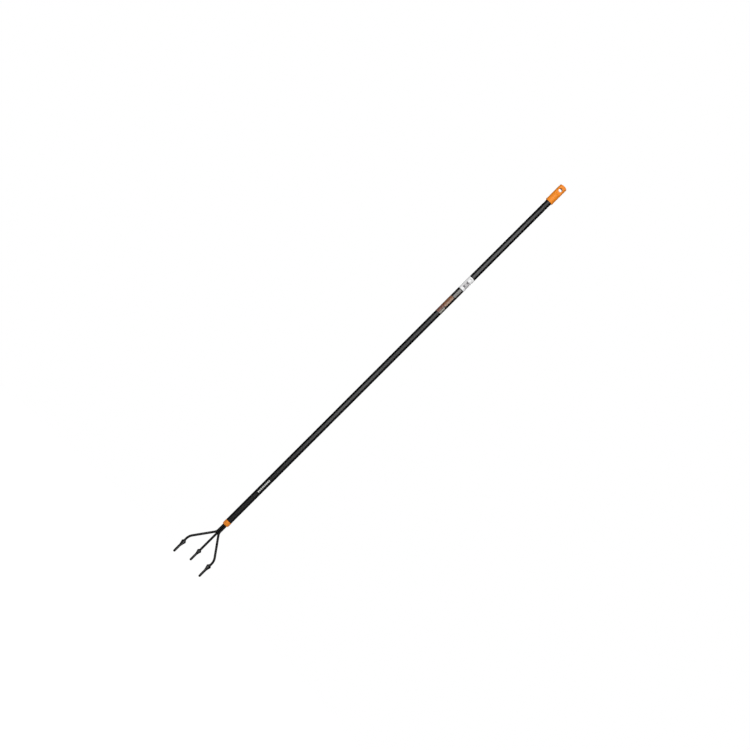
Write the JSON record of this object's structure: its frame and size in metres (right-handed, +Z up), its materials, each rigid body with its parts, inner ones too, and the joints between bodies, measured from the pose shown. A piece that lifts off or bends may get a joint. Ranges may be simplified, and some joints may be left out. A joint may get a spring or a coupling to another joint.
{
  "type": "long-handled garden cultivator",
  "caption": "Long-handled garden cultivator: a round steel tube with a plastic hanging cap, a plastic ferrule and hooked steel tines with flattened leaf points.",
  "frame": {"origin": "centre of the hanging hole in the end cap", "axes": "+Z up along the handle, away from the tines; -Y to the front, where the tines hook; +X to the right as seen from the front"},
  "size_m": [0.1228, 0.1397, 1.648],
  "materials": {
    "tube_coating": "satin black coating",
    "cap_plastic": "satin moulded orange",
    "ferrule_plastic": "satin moulded orange",
    "spring_steel": "bare spring steel",
    "tine_coating": "semi-matt black coating",
    "white_film": "satin film",
    "dark_film": "satin film"
  },
  "bodies": {
    "root": {"handle_tube": "tube_coating", "end_cap": "cap_plastic", "ferrule": "ferrule_plastic", "roll_pin": "spring_steel", "tine_left": "tine_coating", "tine_right": "tine_coating", "tine_middle": "tine_coating", "weld_bead_left": "tine_coating", "weld_bead_right": "tine_coating", "wrap_label": "white_film", "printed_label": "dark_film"}
  },
  "joints": []
}
